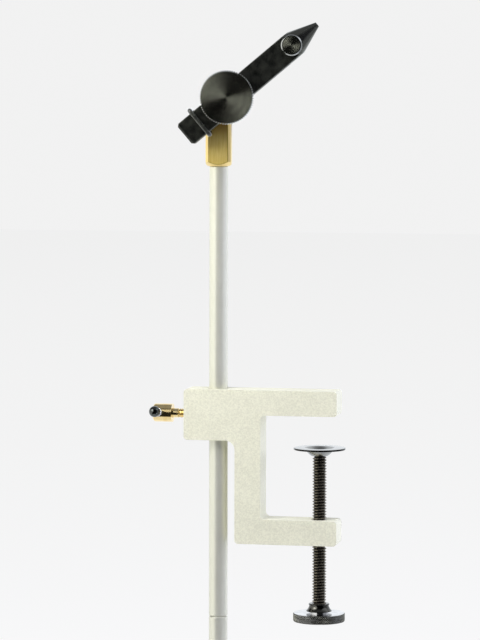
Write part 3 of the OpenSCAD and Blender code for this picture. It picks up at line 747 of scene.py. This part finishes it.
def makeSpindle():
    # a thread up to the shoulder, then the journal that the pad turns on and the rivet that holds it
    low, high, full = measured("clamp_screw", screwAxis)
    journal, foot = spindle["journal"], high - spindle["rivet"]
    above = [(journal, spindle["shoulder"]), (journal, foot), (spindle["rivetRadius"], foot),
             (spindle["rivetRadius"], high - spindle["domeDrop"] * spindle["rivet"], spindle["rivetSoft"]),
             (spindle["rivetRadius"] * spindle["domeShare"], high, spindle["rivetSoft"])]
    threadedPiece("clampScrew", low, spindle["shoulder"], full, spindle["thread"], screwAxis, "thread_steel",
                  "clamp_screw", above=above, columns=56)


def makePad():
    # a dished disc on a boss that is part of a ball: the boss's radius is the root of
    # the ball's radius squared less the squared distance from the ball's middle
    low, high, full = measured("swivel_pad", screwAxis)
    fall = np.linspace(-pad["plate"], low - high, 12)
    ballWall = np.sqrt(pad["ballRadius"] ** 2 - (fall - pad["ballHeight"]) ** 2)
    boss = [(radius, high + height) for radius, height in zip(ballWall, fall)]
    soft = pad["soft"]
    corners = [
        (pad["bore"], low), (pad["bore"], high - pad["floor"]), (pad["recess"], high - pad["floor"]),
        (pad["recess"], high - pad["dish"], soft), (full - pad["land"], high, soft), (full, high, soft),
        (full, high - pad["rim"], soft), (pad["boss"], high - pad["plate"]), *boss]
    pieceOf("swivelPad", [netOf(turnedGrid(corners), ring=True)], screwAxis, "pad_chrome", "swivel_pad", 30.0)


def diamonds(radius, height, angle):
    # a diamond knurl: the lower of two triangle waves that climb to the left and to the right
    full = measured("clamp_knob", screwAxis)[2]
    turn = angle * grip["knurls"] / (2 * np.pi)
    climb = height / (2 * np.pi * full / grip["knurls"])
    waves = [np.abs((turn + way * climb) % 1 - 0.5) * 2 for way in (-1, 1)]
    wall = np.clip((radius - full + grip["bevel"]) / grip["bevel"], 0, 1)
    ridge = np.minimum(1 - waves[0], 1 - waves[1])
    dip = grip["knurlDepth"] * np.clip(grip["ridge"] - ridge * grip["slope"], 0, 1)
    return radius - dip * wall, height


def makeGrip():
    # the knurled disc with the neck that takes the collar, and the waisted collar on it
    low, high, full = measured("clamp_knob", screwAxis)
    top, bevel, soft = high - grip["neckHeight"], grip["bevel"], grip["soft"]
    bore = low + (top - low) * grip["boreShare"]
    side = [(full, height) for height in np.linspace(low + bevel, top - bevel, grip["rows"])]
    corners = [
        (0, bore), (grip["boreRadius"], bore), (grip["boreRadius"], high), (grip["neckRadius"], high),
        (grip["neckRadius"], top), (full - bevel, top), *reversed(side), (full - bevel, low),
        (full * 0.5, low), (0, low)]
    grid = turnedGrid(corners, grip["knurls"] * grip["columns"], 4, diamonds)
    pieceOf("clampKnob", [netOf(grid)], screwAxis, "grip_chrome", "clamp_knob", 30.0)
    low, high, full = measured("clamp_knob_collar", screwAxis)
    lip, waist = collar["lip"], collar["waist"]
    # the side sweeps out from waist to foot as a power of the way down
    fall = np.linspace(0, 1, 14)
    start, end = high - 3 * lip, low + lip
    sweep = zip(waist + (full - waist) * fall ** collar["flare"], start + (end - start) * fall)
    corners = [
        (collar["bore"], high), (collar["top"] - lip, high, soft), (collar["top"], high - lip, soft),
        (collar["top"], high - 2 * lip, soft), *sweep, (full, low + 0.5 * lip), (full - 0.5 * lip, low),
        (collar["bore"], low)]
    pieceOf("knobCollar", [netOf(turnedGrid(corners), ring=True)], screwAxis, "black_chrome",
            "clamp_knob_collar", 30.0)


makeSpindle()
makePad()
makeGrip()
print("clamp screw made")

# Lock screw, cross bar and washer

lock = {
    "smooth": -3.4 * mm, "bevel": 0.3 * mm, "ballBore": 1.5 * mm, "ballFit": 0.998, "barSoft": 0.2 * mm,
    "thread": {"pitch": 0.79375 * mm, "depth": 0.45 * mm, "root": 0.14, "crest": 0.16},
}


def makeLockScrew():
    # threaded inside the clamp, then smooth up to the head
    low, high, full = measured("lock_screw_stud", lockAxis)
    above = [(full - lock["bevel"], lock["smooth"]), (full, lock["smooth"] + lock["bevel"]),
             (full, high - lock["bevel"]), (full - lock["bevel"], high)]
    threadedPiece("lockStud", low, lock["smooth"], full, lock["thread"], lockAxis, "lock_brass",
                  "lock_screw_stud", above=above)


def makeCrossBar():
    # a ball's profile is half a turn of its radius, less the socket that takes the bar
    low, high, full = measured("lock_bar", barAxis)
    bar = [(0, low), (full, low, lock["barSoft"]), (full, high, lock["barSoft"]), (0, high)]
    pieceOf("crossBar", [netOf(turnedGrid(bar, 48))], barAxis, "bright_steel", "lock_bar")
    balls = (("ballFront", "lock_bar_ball_front", 1), ("ballRear", "lock_bar_ball_rear", -1))
    for name, replaced, way in balls:
        near, far, radius = measured(replaced, barAxis)
        centre, bore = (far - radius if way > 0 else near + radius), lock["ballBore"]
        turn = np.linspace(math.asin(bore / radius), math.pi, 40)
        radius *= lock["ballFit"]
        ball = np.column_stack([radius * np.sin(turn), centre - way * radius * np.cos(turn)])
        corners = [(0, centre), (bore, centre), *ball.tolist()]
        pieceOf(name, [netOf(turnedGrid(corners, 64))], barAxis, "ball_plastic", replaced, 50.0)


washer = {"bore": 2.4 * mm, "soft": 0.25 * mm}


def makeWasher():
    low, high, full = measured("jaw_pivot_washer", headAxis)
    corners = [(washer["bore"], low), (full, low, washer["soft"]), (full, high, washer["soft"]),
               (washer["bore"], high)]
    pieceOf("pivotWasher", [netOf(turnedGrid(corners), ring=True)], headAxis, "washer_steel",
            "jaw_pivot_washer")


makeLockScrew()
makeCrossBar()
makeWasher()
for name, piece in frame["nodes"].items():
    piece.data.materials.clear()
    piece.data.materials.append(finishes[slotOf[name]])
print("small pieces made")

# Studio

studio = {
    "white": 0.885,  # what the camera sees behind the object
    "floorFar": 0.935,  # the same on the floor, at its far edge and from its middle forwards
    "floorNear": 0.965,
    "ambient": 0.29,  # what matt surfaces get from all round
    "front": 0.02,  # what metal sees where there is no window
    "warm": (1.0, 1.0, 0.93),
    "cool": (0.93, 0.965, 1.0),
    "warmAzimuth": -50,  # degrees to where the light is warmest
    "warmReach": (-0.2, 0.8),  # cosines away from there, where the warmth starts and is full
    "floorDrop": 4 * mm,
    "floorSize": 6.0,
    "floorPaint": (0.9, 0.9, 0.9, 1),
    "floorMatt": 0.1,  # share of the floor that keeps the shadow
}
windows = {  # soft round patches of light that metal reflects, full and gone at degrees from their middle
    "key": {"azimuth": -49, "elevation": 20, "full": 30, "gone": 36, "level": 1.66},
    "left": {"azimuth": -86, "elevation": -13, "full": 28, "gone": 48, "level": 1.3},
    "right": {"azimuth": 100, "elevation": 0, "full": 22, "gone": 48, "level": 0.5},
    "highRight": {"azimuth": 95, "elevation": 52, "full": 20, "gone": 34, "level": 1.5},
    "lowRight": {"azimuth": 66, "elevation": -34, "full": 8, "gone": 18, "level": 1.7},
    "below": {"azimuth": 0, "elevation": -90, "full": 38, "gone": 48, "level": 0.95},
    "back": {"azimuth": 180, "elevation": -8, "full": 55, "gone": 78, "level": 1.15},
    "above": {"azimuth": 0, "elevation": 92, "full": 20, "gone": 52, "level": 0.3},
    "core": {"azimuth": -46, "elevation": 30, "full": 9, "gone": 15, "level": 6.5},
}
lamps = {
    "left": {"azimuth": -42, "elevation": 38, "distance": 0.33, "size": (0.18, 0.18), "power": 0.75,
             "colour": (1.0, 0.99, 0.9)},
    "right": {"azimuth": 100, "elevation": 0, "distance": 1.2, "size": (1.0, 1.0), "power": 18.4,
              "colour": (0.76, 0.79, 1.0)},
    "above": {"azimuth": 0, "elevation": 65, "distance": 0.8, "size": (0.6, 0.5), "power": 4.9,
              "colour": (0.77, 0.79, 1.0)},
}


def towards(azimuth, elevation):  # from the object, 0 is straight in front and 90 to the right
    side, rise = math.radians(azimuth), math.radians(elevation)
    return np.array([math.sin(side) * math.cos(rise), -math.cos(side) * math.cos(rise), math.sin(rise)])


def makeWorld():
    world = bpy.data.worlds.new("studio")
    scene.world = world
    world.use_nodes = True
    world.node_tree.nodes.clear()
    graph = Graph(world.node_tree)
    camera, glossy, through = (graph.add("LightPath", output=index) for index in (0, 3, 6))  # kinds of ray
    way = graph.add("TexCoord")  # from the object to the sky
    seen = studio["front"]
    for window in windows.values():
        towardsIt = towards(window["azimuth"], window["elevation"]).tolist()
        near = graph.add("VectorMath", {"operation": "DOT_PRODUCT"}, {0: way, 1: towardsIt}, 1)
        gone, full = (math.cos(math.radians(window[name])) for name in ("gone", "full"))
        share = near.eased(gone, full)
        seen = (1 - share) * seen + share * window["level"]
    level = studio["ambient"] * (1 - glossy) + glossy * seen
    level = level * (1 - camera) + camera * studio["white"]
    level = level * (1 - through) + through * studio["white"]
    warmWay = towards(studio["warmAzimuth"], 0).tolist()
    warmth = graph.add("VectorMath", {"operation": "DOT_PRODUCT"}, {0: way, 1: warmWay}, 1)
    warmth = warmth.eased(*studio["warmReach"])
    plain = (1 - camera) * (1 - through)
    tint = graph.blend(warmth, studio["cool"], studio["warm"])
    tint = graph.blend(plain, (1, 1, 1), tint)
    sky = graph.add("Background", {}, {"Color": tint, "Strength": level})
    out = world.node_tree.nodes.new("ShaderNodeOutputWorld")
    world.node_tree.links.new(sky.socket, out.inputs["Surface"])


def makeFloor():
    low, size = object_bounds()[0][2] - studio["floorDrop"], studio["floorSize"]
    corners = [(-size, -size, low), (size, -size, low), (size, size, low), (-size, size, low)]
    mesh = bpy.data.meshes.new("floor")
    mesh.from_pydata(corners, [], [(0, 1, 2, 3)])
    floor = bpy.data.objects.new("floor", mesh)
    scene.collection.objects.link(floor)
    made = bpy.data.materials.new("paleFloor")
    made.use_nodes = True
    made.node_tree.nodes.clear()
    graph = Graph(made.node_tree)
    camera, through = (graph.add("LightPath", output=index) for index in (0, 6))  # kinds of ray
    depth = graph.add("SeparateXYZ", {}, {0: graph.where()}, 1)
    near, far = studio["floorNear"], studio["floorFar"]
    pale = near - depth.eased(0, studio["floorSize"]) * (near - far)
    glow = graph.add("Emission", {}, {"Color": (1, 1, 1, 1), "Strength": pale})
    matt = graph.add("BsdfDiffuse", {}, {"Color": studio["floorPaint"]})
    shown = (camera + through) * (1 - studio["floorMatt"])
    both = graph.add("MixShader", {}, {0: shown, 1: matt, 2: glow})
    out = made.node_tree.nodes.new("ShaderNodeOutputMaterial")
    made.node_tree.links.new(both.socket, out.inputs["Surface"])
    mesh.materials.append(made)
    floor.visible_glossy = False  # metal sees the windows instead
    floor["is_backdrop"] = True


def makeLamps():  # these light the matt share of each surface and cast the shadows
    low, high = (np.array(corner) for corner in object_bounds())
    centre = (low + high) / 2
    for name, lamp in lamps.items():
        back = towards(lamp["azimuth"], lamp["elevation"])
        light = bpy.data.lights.new(name, "AREA")
        light.shape = "RECTANGLE"
        light.size, light.size_y = lamp["size"]
        light.energy = lamp["power"]
        light.color = lamp["colour"]
        holder = bpy.data.objects.new(name, light)
        scene.collection.objects.link(holder)
        stand = Place(centre + back * lamp["distance"], back, (-back[1], back[0], 0))
        matrix = Matrix(stand.turn.tolist()).to_4x4()
        matrix.translation = stand.origin.tolist()
        holder.matrix_world = matrix
        holder.visible_camera = False
        holder.visible_glossy = False


makeWorld()
makeFloor()
makeLamps()
scene.view_settings.view_transform = "Standard"
print("studio lit")
